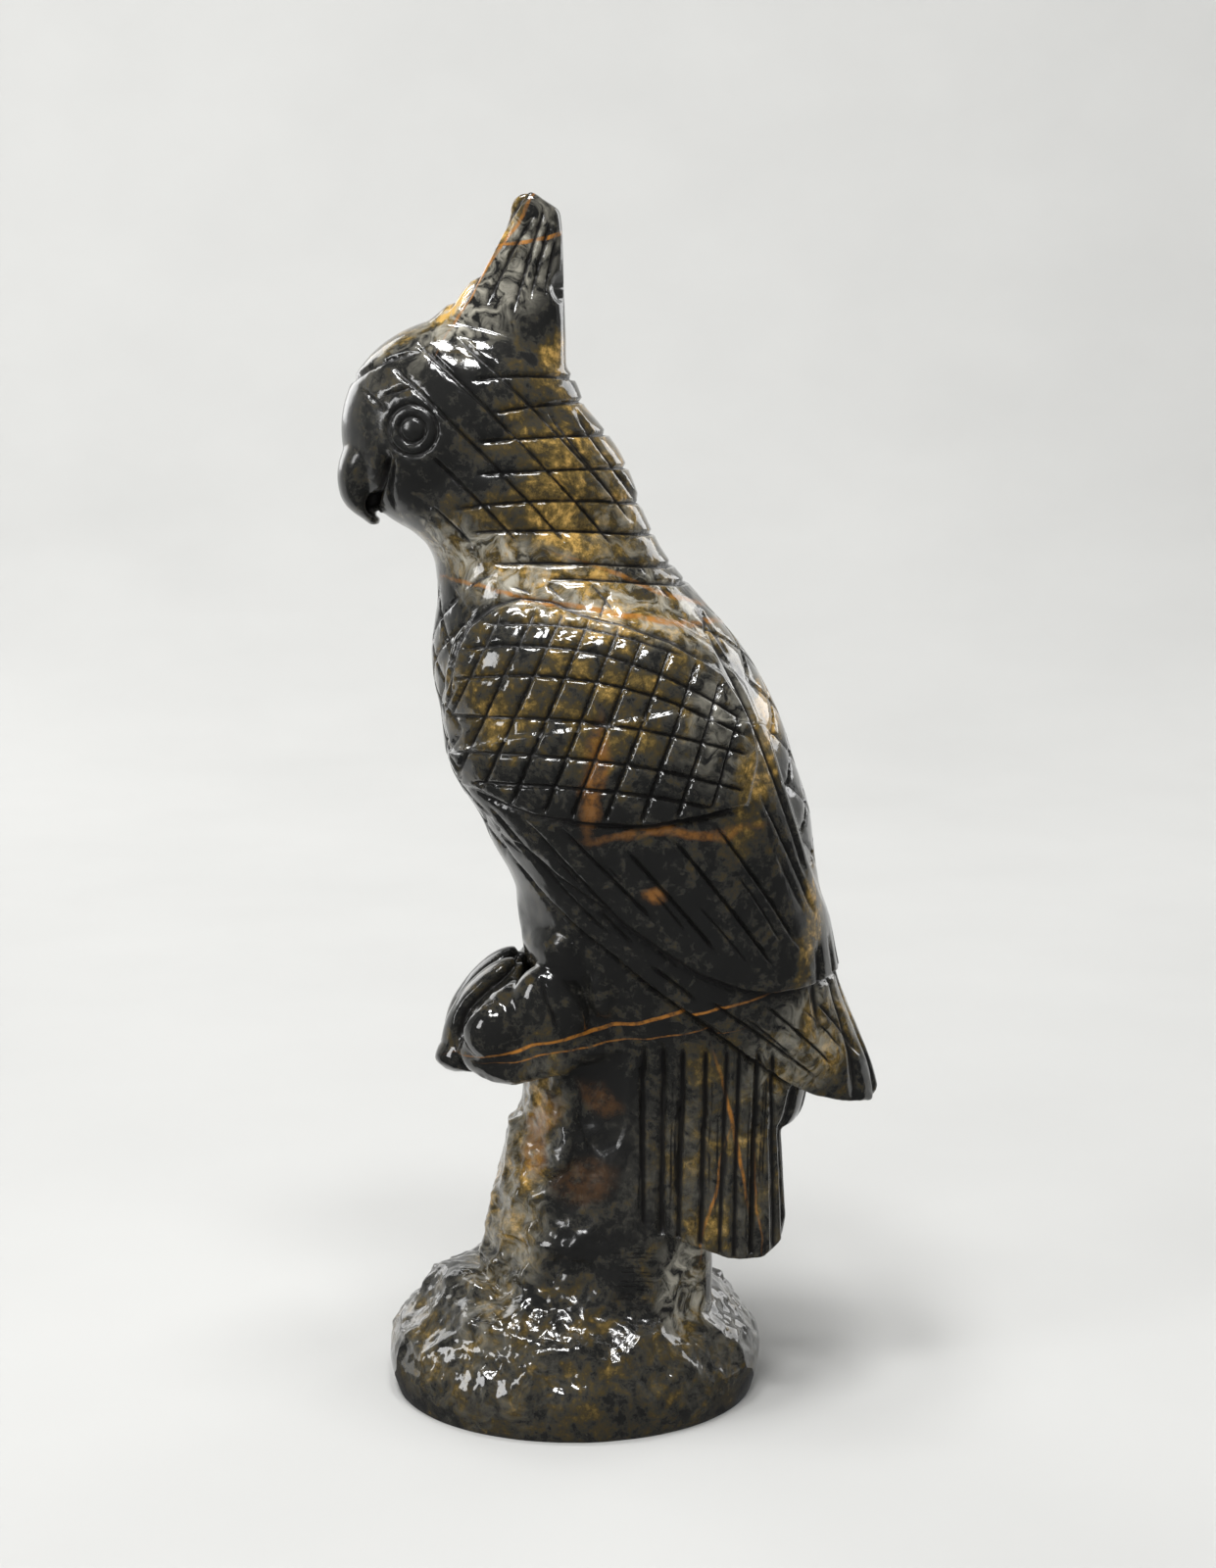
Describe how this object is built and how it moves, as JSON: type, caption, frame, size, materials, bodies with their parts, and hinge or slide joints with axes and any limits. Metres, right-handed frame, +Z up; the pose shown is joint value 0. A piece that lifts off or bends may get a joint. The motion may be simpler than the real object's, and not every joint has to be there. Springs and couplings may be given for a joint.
{
  "type": "jasper parrot carving",
  "caption": "Carved stone parrot with a raised crest, folded cross-hatched wings and a fluted tail, perched on a rocky stump that widens into its own round plinth.",
  "frame": {"origin": "middle of the plinth's flat underside", "axes": "+Z up, the bird looks towards -X, its left flank faces -Y"},
  "size_m": [0.1119, 0.0715, 0.2502],
  "materials": {
    "jasper": "highly polished dark jasper, charcoal and olive-brown with rust and ochre veins"
  },
  "bodies": {
    "root": {"parrot_carving": "jasper"}
  },
  "joints": []
}
